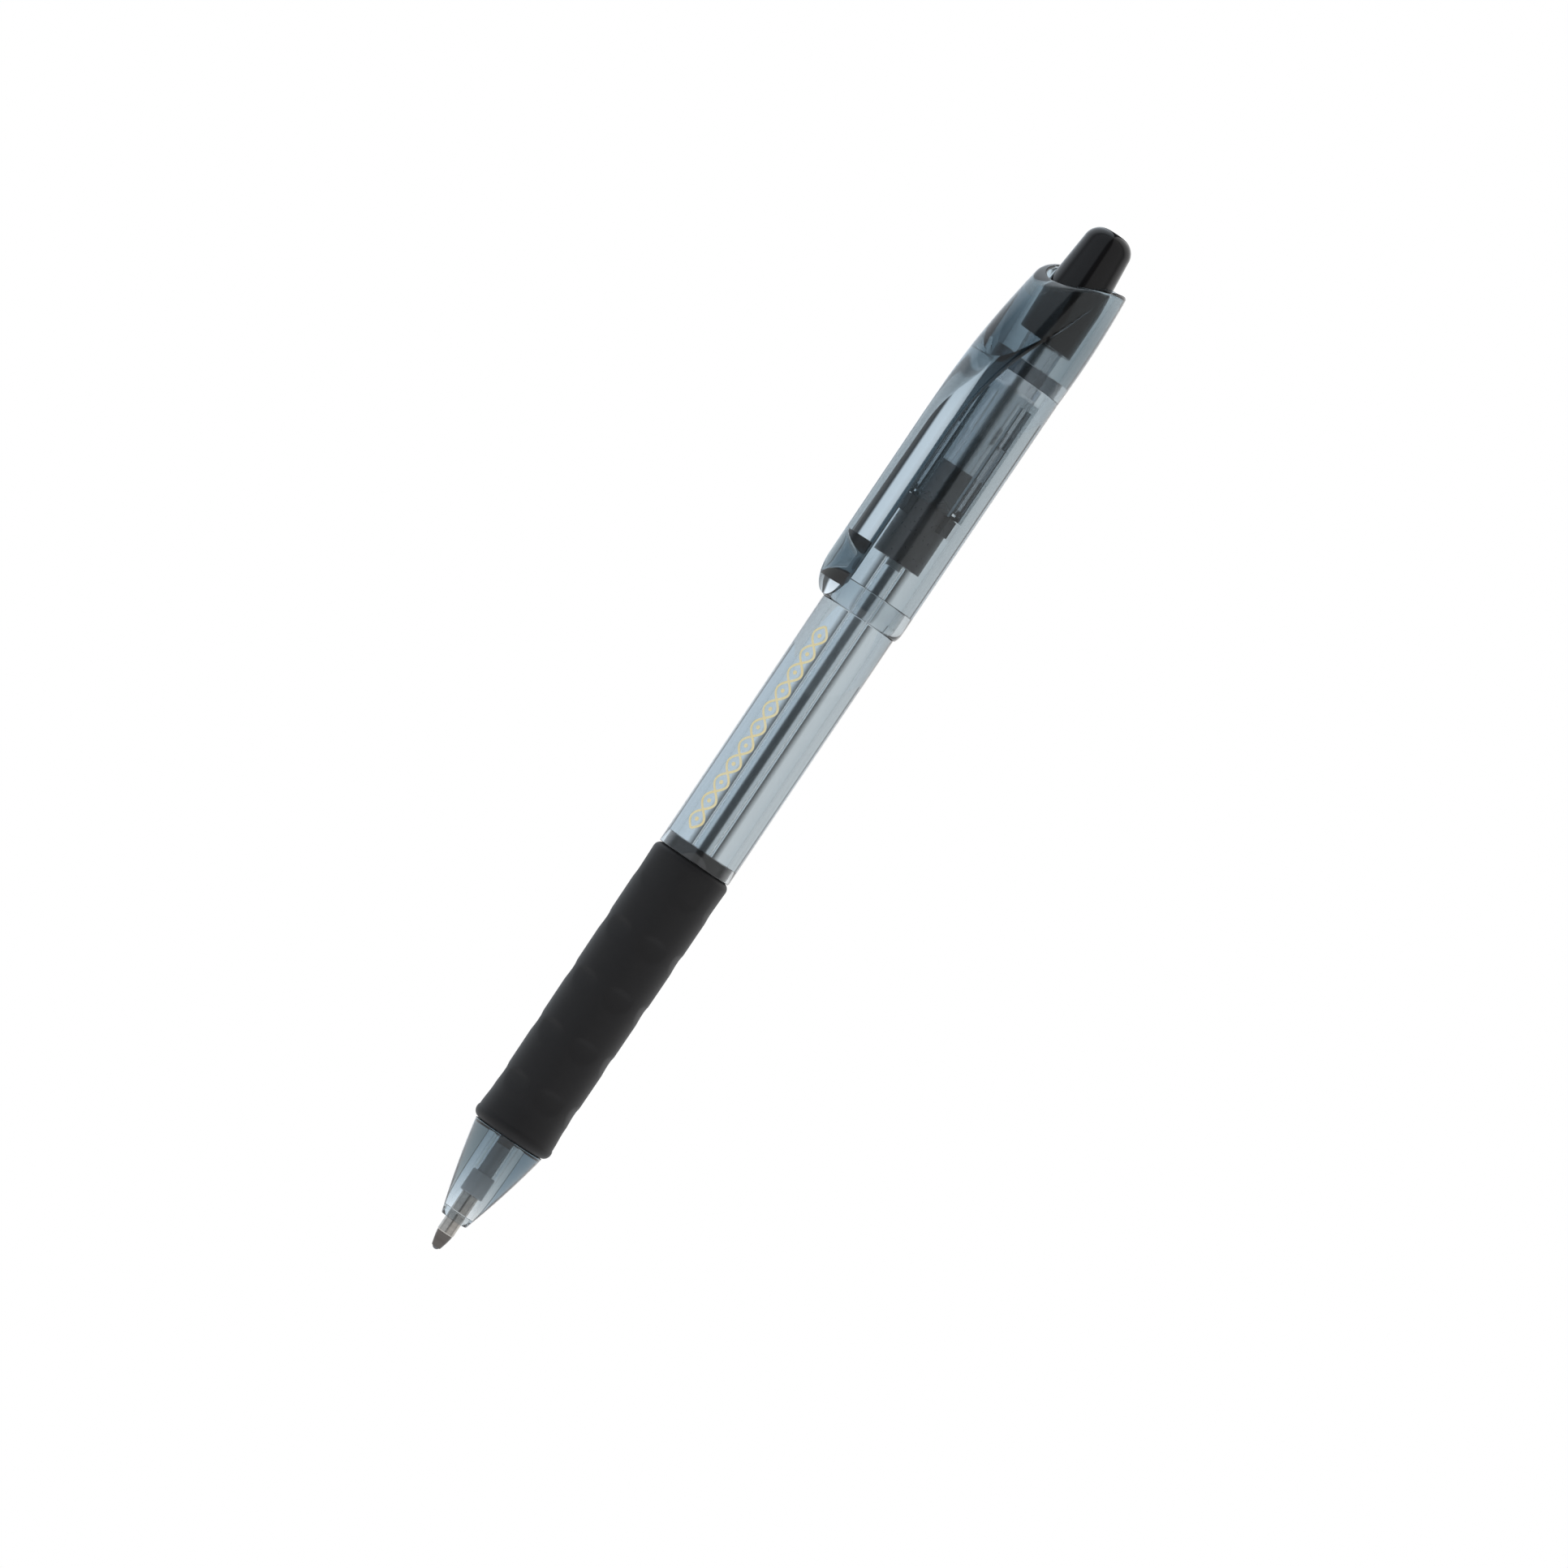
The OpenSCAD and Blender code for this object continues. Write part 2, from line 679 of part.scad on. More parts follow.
function coil_point(i, k) = let (t = i / turn_steps, a = 360 * t, b = 360 * k / wire_sides,
    r = spring_r + wire_d / 2 * cos(b)) [r * cos(a), r * sin(a), coil_z(t) + wire_d / 2 * sin(b)];

module return_spring() {
    last = coil_steps * wire_sides;
    color([0.75, 0.76, 0.78]) polyhedron(
        points = [for (i = [0:coil_steps]) for (k = [0:wire_sides - 1]) coil_point(i, k)],
        faces = concat(
            [[for (k = [0:wire_sides - 1]) k]],
            [for (i = [0:coil_steps - 1]) for (k = [0:wire_sides - 1])
                let (n = (k + 1) % wire_sides, a = i * wire_sides, b = a + wire_sides)
                    [a + k, b + k, b + n, a + n]],
            [[for (k = [wire_sides - 1:-1:0]) last + k]]));
}

nose_cone();
rubber_grip();
barrel();
mechanism_housing();
clip_cap();
cam_guide();
push_button();
thrust_tube();
rotor_cam();
refill_tube();
ink_column();
ink_follower();
tail_plug();
tip_holder();
point_socket();
writing_ball();
return_spring();
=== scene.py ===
# %% [markdown]
# A retractable pen: a smoky clear shell in four mouldings, a black rubber grip with rows of
# dimples, a black push button, and a refill with a metal point.
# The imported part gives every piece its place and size. What shows most is modelled again here with
# finer curves, because clear plastic bends light at every facet. What sits deep inside keeps its
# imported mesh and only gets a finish.

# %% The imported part
from math import asin, atan2, cos, pi, radians, sin, sqrt

import bmesh
import bpy
from mathutils import Matrix, Vector


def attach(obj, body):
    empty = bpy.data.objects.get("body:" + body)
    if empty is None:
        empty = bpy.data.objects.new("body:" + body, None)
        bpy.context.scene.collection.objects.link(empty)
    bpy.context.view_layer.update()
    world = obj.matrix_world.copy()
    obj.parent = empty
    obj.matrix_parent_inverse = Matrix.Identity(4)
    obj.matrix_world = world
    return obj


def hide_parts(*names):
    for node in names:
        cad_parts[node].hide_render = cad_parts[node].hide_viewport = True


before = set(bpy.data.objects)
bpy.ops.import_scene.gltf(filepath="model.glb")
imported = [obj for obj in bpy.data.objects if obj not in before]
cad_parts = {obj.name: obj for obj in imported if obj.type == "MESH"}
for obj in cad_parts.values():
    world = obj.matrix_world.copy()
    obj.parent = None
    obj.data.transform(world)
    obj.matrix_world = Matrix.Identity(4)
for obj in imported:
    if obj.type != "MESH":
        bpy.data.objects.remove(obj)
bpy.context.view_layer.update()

# %% [markdown]
# Sizes are written in millimetres, as a drawing has them, and a bmesh gets them in metres.
# The heights run up the pen's axis from the ball, and the radii run out from it.

# %% Heights and radii that several pieces share
MM = 0.001
MOUTH_Z = 4.03
HOLDER_Z = 7.85
TUBE_Z = 10.8
GRIP_Z = 15.6
SEAT_Z = 16.6
GRIP_TOP_Z = 54.4
STEP_Z = 56.15
JOINT_Z = 88.85
BAND_Z = 122.6
BAND_TOP_Z = 124.55
BARREL_R = 4.82
BARREL_TOP_R = 4.88
BORE_R = 3.64
CORE_R = 3.97
CHAMBER_R = 2.6
HOUSING_R = 5.34
CAP_R = 5.46
print("the clear shell runs from", MOUTH_Z, "to 137.4 mm")

# %% [markdown]
# Nearly every piece of a pen is turned: it has one outline that is carried round the axis.
# A turned piece could be built from stacked cylinders, but one closed outline and a full spin give
# a wall with its inner and outer side in one go. Real edges are never knife sharp, so a corner of
# the outline may carry a radius, and it is then replaced by a short arc.

# %% Rounding the corners of an outline
def rounded(corners, steps=5):
    """Points (r, z) or (r, z, radius) in order round a closed outline, with arcs at the radii."""
    points = []
    for i, corner in enumerate(corners):
        here = Vector(corner[:2])
        if len(corner) < 3:
            points.append(here)
            continue
        back = (Vector(corners[i - 1][:2]) - here).normalized()
        ahead = (Vector(corners[(i + 1) % len(corners)][:2]) - here).normalized()
        half = back.angle(ahead) / 2
        reach = corner[2] * cos(half) / sin(half)
        centre = here + (back + ahead).normalized() * (corner[2] / sin(half))
        first = here + back * reach - centre
        last = here + ahead * reach - centre
        turn = pi - 2 * half
        for k in range(steps + 1):
            part = k / steps
            arm = (first * sin((1 - part) * turn) + last * sin(part * turn)) / sin(turn)
            points.append(centre + arm)
    return points


print("a square corner with a radius becomes", len(rounded([(0, 0), (1, 0, 0.2), (1, 1)])) - 2, "points")

# %% From a bmesh to a piece of the pen
SMOOTH_BELOW = radians(34)
collection = bpy.context.scene.collection
made_pieces = {}


def piece(name, mesh, body, nodes=()):
    """Closes the bmesh's seams, turns its faces outwards and lets the piece ride on its body."""
    bmesh.ops.remove_doubles(mesh, verts=mesh.verts, dist=0.0008 * MM)
    bmesh.ops.dissolve_degenerate(mesh, edges=mesh.edges, dist=0.0004 * MM)
    bmesh.ops.recalc_face_normals(mesh, faces=mesh.faces)
    for face in mesh.faces:
        face.smooth = True
    data = bpy.data.meshes.new(name)
    mesh.to_mesh(data)
    mesh.free()
    data.set_sharp_from_angle(angle=SMOOTH_BELOW)
    made = bpy.data.objects.new(name, data)
    collection.objects.link(made)
    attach(made, body)
    if nodes:
        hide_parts(*nodes)
    made_pieces[name] = made
    print(name, "has", len(data.polygons), "faces")
    return made


# %% Turning an outline round the axis
AROUND = 160


def turned(outline, steps=AROUND):
    """A bmesh of a closed outline of points (r, z), carried once round the axis."""
    mesh = bmesh.new()
    ring = [mesh.verts.new((r * MM, 0, z * MM)) for r, z in outline]
    sides = []
    for first, last in zip(ring, ring[1:] + ring[:1]):
        if first.co.x > 0 or last.co.x > 0:
            sides.append(mesh.edges.new((first, last)))
    bmesh.ops.spin(
        mesh,
        geom=ring + sides,
        cent=(0, 0, 0),
        axis=(0, 0, 1),
        angle=2 * pi,
        steps=steps,
        use_merge=True,
    )
    return mesh


# %% A side that swells outwards
def swelling(low_r, high_r, low_z, high_z, swell, steps=16):
    """Points of a side between two radii that stands out by swell halfway up."""
    points = []
    for k in range(steps + 1):
        part = k / steps
        r = low_r + (high_r - low_r) * part + swell * 4 * part * (1 - part)
        points.append((r, low_z + (high_z - low_z) * part))
    return points


# %% [markdown]
# The nose cone is a clear moulding that screws into the barrel. Its side swells a little, and its
# bore is much narrower than the cone, so the solid plastic works as a lens round the refill.

# %% Nose cone
cone_side = swelling(1.70, 4.58, MOUTH_Z, GRIP_Z - 0.01, 0.18)
nose = turned(
    rounded(
        [
            (1.165, 5.17),
            (1.165, MOUTH_Z, 0.08),
            (1.70, MOUTH_Z, 0.12),
            *cone_side[1:],
            (3.25, GRIP_Z - 0.01),
            (3.25, 24.0, 0.1),
            (CHAMBER_R, 24.0, 0.1),
            (CHAMBER_R, SEAT_Z),
            (1.65, SEAT_Z),
            (1.65, 5.17, 0.12),
        ]
    )
)
piece("nose_shell", nose, "shell", ["nose_cone"])

# %% [markdown]
# The barrel is the clear middle tube. Its lower half carries the grip, a thin skirt laps the top of
# the rubber, and a spigot with snap lugs holds the upper housing.
# The lugs are faces of the spigot that are pushed out, so they stay part of one closed wall.

# %% Barrel
LUG_COUNT = 6
LUG_TURN = 40
LUG_SIZE = 1.1


def windows(mesh, low_z, high_z, r, width, count, first_deg):
    """Faces at radius r inside count windows of that width and height round the axis."""
    half = asin(width / 2 / r)
    found = []
    for face in mesh.faces:
        middle = face.calc_center_median() / MM
        if not low_z < middle.z < high_z or abs(sqrt(middle.x**2 + middle.y**2) - r) > 0.02:
            continue
        turn = (atan2(middle.y, middle.x) - radians(first_deg)) % (2 * pi / count)
        if min(turn, 2 * pi / count - turn) < half:
            found.append(face)
    return found


def push_out(mesh, faces, distance):
    """Extrudes faces and moves them away from the axis."""
    grown = bmesh.ops.extrude_face_region(mesh, geom=faces)["geom"]
    bmesh.ops.delete(mesh, geom=faces, context="FACES")
    for item in grown:
        if isinstance(item, bmesh.types.BMVert):
            away = Vector((item.co.x, item.co.y, 0)).normalized()
            bmesh.ops.translate(mesh, verts=[item], vec=away * distance * MM)


tube = turned(
    rounded(
        [
            (3.28, GRIP_Z),
            (CORE_R, GRIP_Z),
            (CORE_R, STEP_Z, 0.05),
            (4.40, STEP_Z, 0.05),
            (4.40, GRIP_TOP_Z),
            (BARREL_R, GRIP_TOP_Z, 0.1),
            (BARREL_TOP_R, JOINT_Z, 0.12),
            (4.43, JOINT_Z),
            (4.43, JOINT_Z + LUG_SIZE),
            (4.43, 92.15, 0.15),
            (BORE_R, 92.15, 0.15),
            (BORE_R, STEP_Z),
            (CHAMBER_R, 55.11),
            (CHAMBER_R, 24.03),
            (3.28, 24.03),
        ]
    ),
    180,
)
lugs = windows(tube, JOINT_Z, JOINT_Z + LUG_SIZE, 4.43, LUG_SIZE, LUG_COUNT, LUG_TURN)
print("faces in the snap lugs:", len(lugs))
push_out(tube, lugs, 0.25)
piece("barrel_tube", tube, "shell", ["barrel"])

# %% [markdown]
# The upper housing is wider than the barrel, with a rounded foot where a hand feels the step. Its
# pockets take the barrel's lugs, and the cap is pushed over its upper end.

# %% Upper housing
POCKET_SIZE = 1.16
FOOT_ROUND = 0.43
FOOT_RISE = 1.5
foot = []
for k in range(9):
    angle = k / 8 * pi / 2
    foot.append((HOUSING_R - FOOT_ROUND * (1 - sin(angle)), JOINT_Z + 0.02 + FOOT_RISE * (1 - cos(angle))))
casing = turned(
    rounded(
        [
            (4.46, JOINT_Z + 0.02),
            *foot,
            (CAP_R - 0.005, BAND_Z - 0.01, 0.06),
            (4.70, BAND_Z - 0.01),
            (4.70, BAND_TOP_Z, 0.12),
            (3.95, BAND_TOP_Z, 0.12),
            (3.95, 92.18),
            (4.46, 92.18, 0.1),
            (4.46, JOINT_Z + POCKET_SIZE),
        ]
    ),
    180,
)
pockets = windows(casing, JOINT_Z, JOINT_Z + POCKET_SIZE, 4.46, POCKET_SIZE, LUG_COUNT, LUG_TURN)
print("faces in the lug pockets:", len(pockets))
push_out(casing, pockets, 0.25)
piece("housing_tube", casing, "shell", ["mechanism_housing"])

# %% [markdown]
# The grip is a rubber sleeve with a flared lower lip, a waist and a slight swell towards its top.
# Its dimples could be cut out with thirty spheres, but rubber has soft edges. So the sleeve is
# turned with a fine side, and each point of that side sinks by a smooth bowl round every dimple.
# A dimple's upper wall is steeper than its lower one, so it catches a small soft shadow.

# %% Rubber grip
WAIST_R = 4.94
WAIST_Z = 19.8
SWELL_Z = 50.2
SWELL = 0.13
DIMPLE_ROWS = 5
DIMPLE_COUNT = 6
DIMPLE_PITCH = 7.17
DIMPLE_R = 2.0
DIMPLE_DEPTH = 0.17
DIMPLE_TURN = radians(8)
DIMPLE_MIDDLE_Z = 36.45
GRIP_ROWS = 170
grip_side = []
for k in range(GRIP_ROWS + 1):
    part = k / GRIP_ROWS
    grip_side.append((WAIST_R + SWELL * part, WAIST_Z + (SWELL_Z - WAIST_Z) * part))
lip = []
for k in range(13):
    angle = radians(-90 + 120 * k / 12)
    lip.append((4.31 + 0.9 * cos(angle), 16.7 + 0.9 * sin(angle) * (1.1 if angle < 0 else 1)))
lip_to_waist = []
for k in range(1, 10):
    part = k / 10
    ease = part * part * (3 - 2 * part)
    lip_r, lip_z = lip[-1]
    lip_to_waist.append((lip_r + (WAIST_R - lip_r) * ease, lip_z + (WAIST_Z - lip_z) * part))
shoulder = []
for k in range(8):
    angle = radians(90 * k / 7)
    shoulder.append((4.17 + 0.9 * cos(angle), 53.5 + 0.9 * sin(angle)))
sleeve = turned(
    [
        (4.0, GRIP_Z),
        *lip,
        *lip_to_waist,
        *grip_side,
        *shoulder,
        (4.37, GRIP_TOP_Z + 0.02),
        (4.37, 56.05),
        (4.0, 56.05),
    ],
    200,
)

# %% Sinking the dimples
def bowl(distance):
    """How deep a dimple is at a distance from its middle, from 1 in the middle to 0 outside."""
    if distance >= DIMPLE_R:
        return 0
    share = distance / DIMPLE_R
    return (1 - share**2) ** 1.35


lowest_row = DIMPLE_MIDDLE_Z - DIMPLE_PITCH * (DIMPLE_ROWS - 1) / 2
deepest = 0
for vert in sleeve.verts:
    r = sqrt(vert.co.x**2 + vert.co.y**2) / MM
    if r < 4.6:
        continue
    row = round((vert.co.z / MM - lowest_row) / DIMPLE_PITCH)
    if not 0 <= row < DIMPLE_ROWS:
        continue
    spacing = 2 * pi / DIMPLE_COUNT
    turn = (atan2(vert.co.y, vert.co.x) - DIMPLE_TURN + spacing / 2) % spacing - spacing / 2
    up = vert.co.z / MM - lowest_row - row * DIMPLE_PITCH
    steep = up + 1.2 * max(up - 0.3, 0)
    sink = DIMPLE_DEPTH * bowl(sqrt((turn * r) ** 2 + steep**2))
    deepest = max(deepest, sink)
    vert.co.x *= (r - sink) / r
    vert.co.y *= (r - sink) / r
print("deepest dimple:", round(deepest, 3), "mm")
piece("grip_sleeve", sleeve, "shell", ["rubber_grip"])

# %% [markdown]
# The push button is one glossy black moulding: a straight skirt inside the cap, a taper above it
# and a broad soft shoulder round a small flat top. The shoulder is a quarter of a circle.

# %% Push button
CROWN_ROUND = 2.1
CROWN_Z = 140.8
FLAT_TOP_R = 0.96
crown = []
for k in range(15):
    angle = k / 14 * pi / 2
    crown.append((FLAT_TOP_R + CROWN_ROUND * cos(angle), CROWN_Z + CROWN_ROUND * sin(angle)))
button = turned(
    rounded(
        [
            (2.69, 127.5, 0.12),
            (3.71, 127.5, 0.2),
            (3.71, 133.9, 1.5),
            *crown,
            (0, 142.9),
            (0, 138.0),
            (2.69, 138.0),
        ],
        9,
    )
)
piece("button_cap", button, "button", ["push_button"])

# %% [markdown]
# The cap and the pocket clip are one moulding. Its outer surface is a tube, and the clip is a leaf
# of a second, bent tube that grows out of it. The leaf widens upwards until it is as wide as the
# cap, so its side wall draws one long curve across the cap and fades out at the slanted rim.
# No primitive has that shape. It is lofted: one ring of points is extruded again and again, and
# each new point is put where its column belongs at that height. Below the cap the ring parts: the
# leaf's columns run on down as the free clip, and the others turn in to make the socket and bore.

# %% The leaf of the clip
CLIP_Z = 88.9
BEND_Z = 112.1
CLIP_OUT = 2.45
PATH_R = 93.54
BLADE_HALF = 2.7
BLADE_MID = 1.2
END_LEN = 4.4
HEEL_LEN = 4.4
HEEL_DEPTH = 1.1
INNER_ARC = 46.0
FLARE_ARC = 61
PAD_R = 4.0
PAD_X = 9.41
PAD_Z = 93.9
PAD_CROWN = 2.9
FLAT_X = CLIP_OUT + CAP_R - BLADE_MID
WIDEST = 5.3


def leaf_outer(y, z):
    """How far out the leaf's outer surface is. Its lower end has a soft heel."""
    reach = sqrt(max(CAP_R**2 - y * y, 0))
    if z <= BEND_Z:
        heel = max(1 - (z - CLIP_Z) / HEEL_LEN, 0)
        return CLIP_OUT + reach - HEEL_DEPTH * heel**2
    return sqrt((PATH_R + reach) ** 2 - (z - BEND_Z) ** 2) - (PATH_R - CLIP_OUT)


def leaf_inner(z):
    """How far out the leaf's inner face is."""
    if z > BEND_Z:
        return sqrt(INNER_ARC**2 - (z - BEND_Z) ** 2) - (INNER_ARC - FLAT_X)
    return FLAT_X


def pad_face(y, z):
    """How far out the pad is that grips a pocket. It is round both along and across the blade."""
    along_blade = sqrt(max(PAD_R**2 - (z - PAD_Z) ** 2, 0))
    across_blade = sqrt(max(PAD_CROWN**2 - y * y, 0))
    return min(FLAT_X, max(PAD_X - along_blade, PAD_X - PAD_R + PAD_CROWN - across_blade))


def leaf_half(z):
    """Half the leaf's width: a round lower end, a straight blade and the flare into the cap."""
    if z > BEND_Z:
        return min(BLADE_HALF + (z - BEND_Z) ** 2 / 2 / FLARE_ARC, WIDEST)
    below = max(CLIP_Z + END_LEN - z, 0) / END_LEN
    return BLADE_HALF * sqrt(max(1 - below**2, 0))


print("the blade is", round(leaf_outer(BLADE_HALF, 100) - FLAT_X, 2), "mm thick at its sides")

# %% The cap's tube and its rim
CAP_LEN = 14.8
RIM_R = 14.0
RIM_X = -4.5
RIM_Z = 123.4
CAP_BORE_R = 4.26
SOCKET_R = 4.73
SOCKET_TOP_Z = 124.58


def cap_radius(z):
    part = (z - BAND_Z) / CAP_LEN
    return CAP_R - 0.005 - 0.26 * part + 0.25 * 4 * part * (1 - part)


def rim_height(x):
    """Height of the slanted rim above a point at that distance towards the clip."""
    return RIM_Z + sqrt(RIM_R**2 - (x - RIM_X) ** 2)


print("the rim falls from", round(rim_height(-5.2), 1), "to", round(rim_height(5.6), 1), "mm")

# %% One ring of the loft
ACROSS = 48
CORNER = 4
WALL = 3
NOTCH = 14
ROUND_CAP = 150


def bend(first, corner, last, part):
    """A point on the short curve that rounds a corner."""
    return first * (1 - part) ** 2 + corner * 2 * part * (1 - part) + last * part**2


def half_ring(z):
    """Columns of the ring at a height on its +Y side, from the middle of the leaf to the back."""
    half = leaf_half(z)
    on_cap = z >= BAND_Z
    radius = cap_radius(z) if on_cap else 0
    inner = leaf_inner(z)
    foot_on_cap = sqrt(max(radius**2 - half**2, 0)) if on_cap else -99
    foot = max(inner, foot_on_cap)
    notch_y = 0 if inner >= radius else min(sqrt(radius**2 - inner**2), half)
    edge_x = max(leaf_outer(half, z), foot)
    outer_round = min(0.22, 0.45 * (edge_x - foot), 0.5 * half)
    inner_round = min(0.2, 0.4 * (edge_x - foot), 0.5 * (half - notch_y)) if inner >= foot_on_cap else 0
    row = []
    shoulder_y = half - outer_round
    widest = asin(min(shoulder_y / CAP_R, 1))
    for k in range(ACROSS // 2 + 1):
        y = CAP_R * sin(widest * k / (ACROSS // 2))
        row.append(Vector((max(leaf_outer(y, z), foot if y > notch_y else inner), y)))
    start = row[-1].copy()
    corner = Vector((edge_x, half))
    end = Vector((edge_x - outer_round, half))
    row += [bend(start, corner, end, k / CORNER) for k in range(1, CORNER + 1)]
    low = Vector((foot + inner_round, half))
    row += [end.lerp(low, k / WALL) for k in range(1, WALL + 1)]
    turn = Vector((foot, half - inner_round))
    row += [bend(low, Vector((foot, half)), turn, k / CORNER) for k in range(1, CORNER + 1)]
    root = Vector((foot if notch_y >= half else inner, notch_y))
    face = [turn.lerp(root, k / NOTCH) for k in range(1, NOTCH + 1)]
    if not on_cap:
        for point in face:
            point.x = min(point.x, pad_face(point.y, z))
    return row + face, radius, notch_y


def ring_at(z):
    """All columns of the ring at a height, once round from the leaf's middle on the +Y side."""
    row, radius, notch_y = half_ring(z)
    around = []
    first = asin(min(notch_y / radius, 1)) if radius else 0
    for k in range(ROUND_CAP + 1):
        angle = first + (2 * pi - 2 * first) * k / ROUND_CAP
        around.append(Vector((radius * cos(angle), radius * sin(angle))))
    mirrored = [Vector((p.x, -p.y)) for p in reversed(row[1:])]
    return row + around + mirrored


LEAF_COLUMNS = ACROSS // 2 + 1 + CORNER + WALL + CORNER + NOTCH
RING_COLUMNS = LEAF_COLUMNS * 2 - 1 + ROUND_CAP + 1
print("columns in a ring:", RING_COLUMNS, "check:", len(ring_at(126)))

# %% Where each column meets the rim
rim_top = []
for column in range(RING_COLUMNS):
    z = 135.0
    for k in range(12):
        z = rim_height(ring_at(z)[column].x)
    rim_top.append(z)
print("highest and lowest rim:", round(max(rim_top), 2), round(min(rim_top), 2))

# %% Lofting the cap
OUTER_SOFT = 0.5
INNER_SOFT = 0.4
CAP_ROWS = 56
cap_mesh = bmesh.new()
column_of = cap_mesh.verts.layers.int.new("column")


def next_row(mesh, edges, place):
    """Extrudes a row of edges and puts each new point where place says for its column."""
    grown = bmesh.ops.extrude_edge_only(mesh, edges=edges)["geom"]
    points = {item for item in grown if isinstance(item, bmesh.types.BMVert)}
    for point in points:
        point.co = Vector(place(point[column_of])) * MM
    return [e for e in grown if isinstance(e, bmesh.types.BMEdge) and set(e.verts) <= points]


known_rings = {}


def column_at(column, z):
    """Where a column stands at a height. Rings are kept, as many columns ask for the same one."""
    key = round(z, 4)
    if key not in known_rings:
        known_rings[key] = ring_at(z)
    return known_rings[key][column]


def on_side(part):
    """Places a column on the cap's outside at a share of its height below the rim's rounding."""
    def place(column):
        z = BAND_Z + (rim_top[column] - OUTER_SOFT - BAND_Z) * part
        x, y = column_at(column, z)
        return x, y, z
    return place


base = [cap_mesh.verts.new((p.x * MM, p.y * MM, BAND_Z * MM)) for p in ring_at(BAND_Z)]
for column, point in enumerate(base):
    point[column_of] = column
base_edges = [cap_mesh.edges.new((a, b)) for a, b in zip(base, base[1:] + base[:1])]
row_edges = base_edges
for k in range(1, CAP_ROWS + 1):
    row_edges = next_row(cap_mesh, row_edges, on_side(k / CAP_ROWS))
print("rows up the cap:", CAP_ROWS, "faces so far:", len(cap_mesh.faces))

# %% Rounding the rim's outer edge
def on_outer_round(part):
    def place(column):
        top = rim_top[column]
        x, y = column_at(column, top - OUTER_SOFT)
        reach = sqrt(x * x + y * y)
        x_in = x * (reach - OUTER_SOFT) / reach
        y_in = y * (reach - OUTER_SOFT) / reach
        start = Vector((x, y, top - OUTER_SOFT))
        return bend(start, Vector((x, y, rim_height(x))), Vector((x_in, y_in, rim_height(x_in))), part)
    return place


for k in range(1, 7):
    row_edges = next_row(cap_mesh, row_edges, on_outer_round(k / 6))
outer_rim = row_edges
print("edges of the outer rim:", len(outer_rim))

# %% The socket, the bore and the rim's inner edge
def round_angle(column):
    return 2 * pi * (column - LEAF_COLUMNS) / ROUND_CAP


def on_tube(radius, z):
    def place(column):
        angle = round_angle(column)
        return radius * cos(angle), radius * sin(angle), z
    return place


def on_bore(part):
    def place(column):
        angle = round_angle(column)
        x = CAP_BORE_R * cos(angle)
        top = rim_height(x) - INNER_SOFT
        return x, CAP_BORE_R * sin(angle), SOCKET_TOP_Z + (top - SOCKET_TOP_Z) * part
    return place


def on_inner_round(part):
    def place(column):
        angle = round_angle(column)
        x, y = CAP_BORE_R * cos(angle), CAP_BORE_R * sin(angle)
        far = CAP_BORE_R + INNER_SOFT
        x_out, y_out = far * cos(angle), far * sin(angle)
        start = Vector((x, y, rim_height(x) - INNER_SOFT))
        return bend(start, Vector((x, y, rim_height(x))), Vector((x_out, y_out, rim_height(x_out))), part)
    return place


round_columns = range(LEAF_COLUMNS, LEAF_COLUMNS + ROUND_CAP + 1)
bottom_edges = [e for e in base_edges if all(v[column_of] in round_columns for v in e.verts)]
inside = next_row(cap_mesh, bottom_edges, on_tube(SOCKET_R, BAND_Z))
inside = next_row(cap_mesh, inside, on_tube(SOCKET_R, SOCKET_TOP_Z))
inside = next_row(cap_mesh, inside, on_tube(CAP_BORE_R, SOCKET_TOP_Z))
for k in range(1, 13):
    inside = next_row(cap_mesh, inside, on_bore(k / 12))
for k in range(1, 6):
    inside = next_row(cap_mesh, inside, on_inner_round(k / 5))
print("edges of the inner rim:", len(inside))

# %% The free clip below the cap
BLADE_ROWS = 90
FINE_LEN = 1.6


def blade_heights():
    """Heights of the blade's rows, close together where its lower end is round."""
    heights = []
    for k in range(1, BLADE_ROWS + 1):
        part = k / BLADE_ROWS
        heights.append(BAND_Z + (CLIP_Z + FINE_LEN - BAND_Z) * part)
    for k in range(1, 13):
        heights.append(CLIP_Z + FINE_LEN * (1 - sin(k / 12 * pi / 2)))
    return heights


def on_blade(z):
    side = half_ring(z)[0]

    def place(column):
        if column < LEAF_COLUMNS:
            return side[column].x, side[column].y, z
        mirror = RING_COLUMNS - column
        return side[mirror].x, -side[mirror].y, z
    return place


blade = [e for e in base_edges if not any(v[column_of] in round_columns for v in e.verts)]
print("edges across the blade:", len(blade))
for z in blade_heights():
    blade = next_row(cap_mesh, blade, on_blade(z))

# %% Closing the rim
bmesh.ops.remove_doubles(cap_mesh, verts=cap_mesh.verts, dist=0.0008 * MM)
open_edges = [e for e in cap_mesh.edges if e.is_boundary]
print("open edges before the rim is closed:", len(open_edges))
bmesh.ops.bridge_loops(cap_mesh, edges=open_edges)
print("edges without exactly two faces:", sum(len(e.link_faces) != 2 for e in cap_mesh.edges))
piece("clip_and_cap", cap_mesh, "shell", ["clip_cap"])

# %% [markdown]
# Where the cap is pushed over the housing, a dark ring shows. It is painted shade: a very thin
# grey see-through tube in the gap between the two walls stands in for the shadow in the joint.

# %% Painted shade ring in the joint
FILM_R = 4.706
FILM_OUT_R = 4.724
film_low = BAND_Z + 0.04
film_high = BAND_TOP_Z - 0.08
film = turned([(FILM_R, film_low), (FILM_OUT_R, film_low), (FILM_OUT_R, film_high), (FILM_R, film_high)])
piece("joint_shade_ring", film, "shell")

